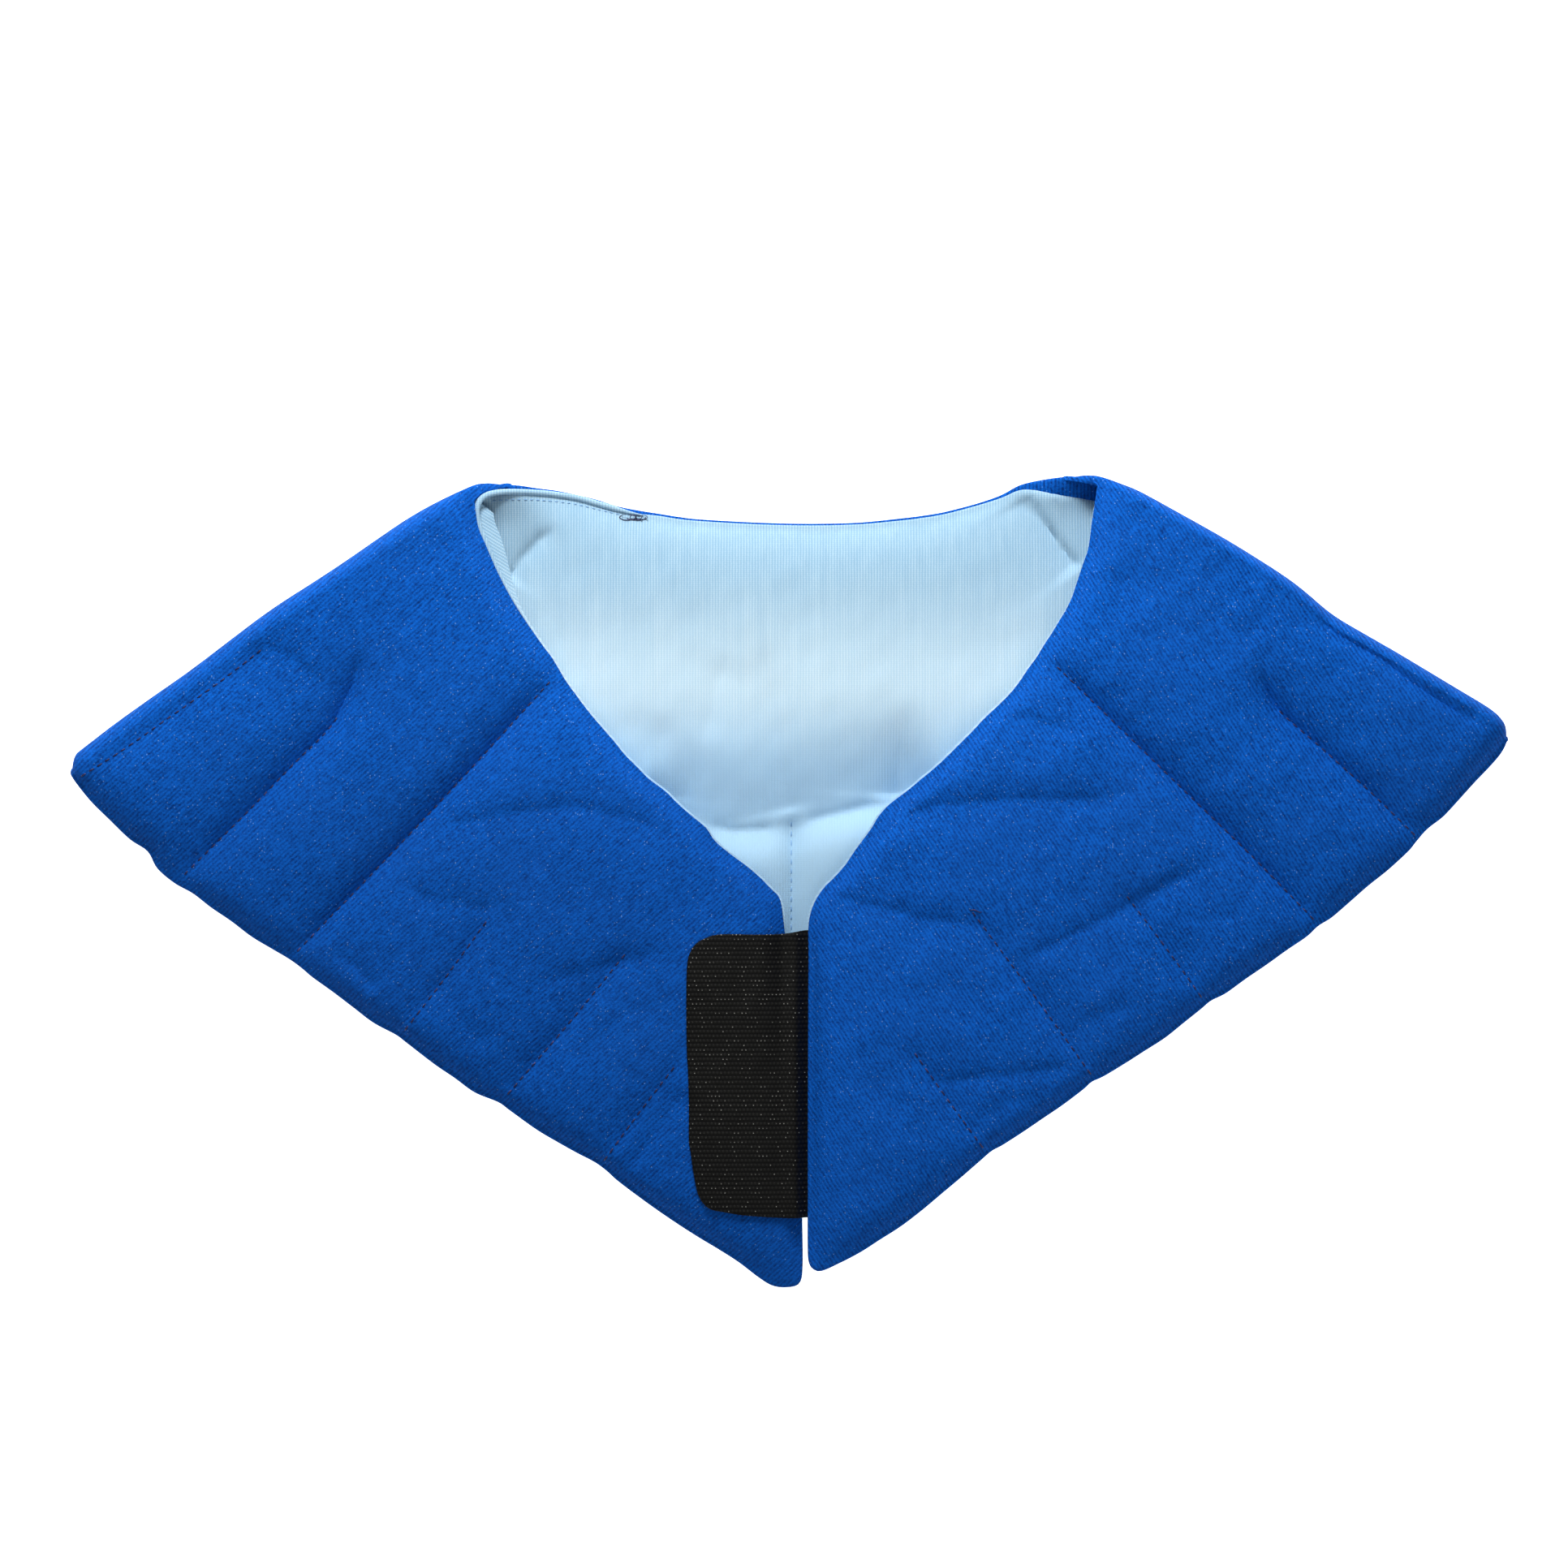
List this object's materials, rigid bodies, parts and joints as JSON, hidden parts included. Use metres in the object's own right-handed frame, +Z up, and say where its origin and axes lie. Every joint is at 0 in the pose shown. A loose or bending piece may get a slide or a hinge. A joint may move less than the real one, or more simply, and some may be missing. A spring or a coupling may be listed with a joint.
{
  "type": "padded shoulder cape",
  "caption": "Short quilted shoulder cape, folded flat over both shoulders, with a curved neck opening and a hook-and-loop tab that closes the front edges.",
  "frame": {"origin": "centre of the outline, on the plane that the back panel lies on", "axes": "+X towards the right front panel, +Y towards the back of the neck, +Z up out of the folded cape"},
  "size_m": [0.5332, 0.3, 0.0341],
  "materials": {
    "brushed_cover": "brushed royal blue warp-knit cloth with a fine diagonal rib and a soft nap",
    "lining": "light blue tricot with fine lengthwise ribs",
    "fill": "loose stuffing, hidden",
    "thread": "dark navy polyester thread",
    "tape": "black woven nylon tape",
    "hooks": "black nylon hooks"
  },
  "bodies": {
    "back": {"back_outer_cover": "brushed_cover", "back_lining": "lining", "back_fill_1": "fill", "back_fill_2": "fill", "back_fill_3": "fill", "back_fill_4": "fill", "back_fill_5": "fill", "back_fill_6": "fill", "back_fill_7": "fill", "back_fill_8": "fill", "back_stitch_row_1": "thread", "back_stitch_row_2": "thread", "back_stitch_row_3": "thread", "back_stitch_row_4": "thread", "back_stitch_row_5": "thread", "back_stitch_row_6": "thread", "back_stitch_row_7": "thread"},
    "front_left": {"front_left_outer_cover": "brushed_cover", "front_left_lining": "lining", "front_left_fill_1": "fill", "front_left_fill_2": "fill", "front_left_fill_3": "fill", "front_left_fill_4": "fill", "front_left_fill_5": "fill", "front_left_fill_6": "fill", "front_left_stitch_row_1": "thread", "front_left_stitch_row_2": "thread", "front_left_stitch_row_3": "thread", "front_left_stitch_row_4": "thread", "front_left_stitch_row_5": "thread"},
    "front_right": {"front_right_outer_cover": "brushed_cover", "front_right_lining": "lining", "front_right_fill_1": "fill", "front_right_fill_2": "fill", "front_right_fill_3": "fill", "front_right_fill_4": "fill", "front_right_fill_5": "fill", "front_right_fill_6": "fill", "front_right_stitch_row_1": "thread", "front_right_stitch_row_2": "thread", "front_right_stitch_row_3": "thread", "front_right_stitch_row_4": "thread", "front_right_stitch_row_5": "thread", "closure_tab_anchor": "tape"},
    "closure_tab": {"closure_tab_tape": "tape", "closure_tab_hooks": "hooks"}
  },
  "joints": [
    {"name": "shoulder_fold_right", "type": "hinge", "parent": "back", "child": "front_right", "pos_m": [0.11828, 0.15421, 0.0158], "axis": [-0.8483, 0.5295, 0], "range_deg": [0, 180]},
    {"name": "shoulder_fold_left", "type": "hinge", "parent": "back", "child": "front_left", "pos_m": [-0.1164, 0.15183, 0.0158], "axis": [-0.829, -0.5592, 0], "range_deg": [0, 180]},
    {"name": "tab_peel", "type": "hinge", "parent": "front_right", "child": "closure_tab", "pos_m": [0.0063, -0.07, 0.0336], "axis": [0, 1, 0], "range_deg": [0, 165]}
  ],
  "couplings": [
    {"joint": "shoulder_fold_left", "follows": "shoulder_fold_right", "ratio": 1}
  ]
}
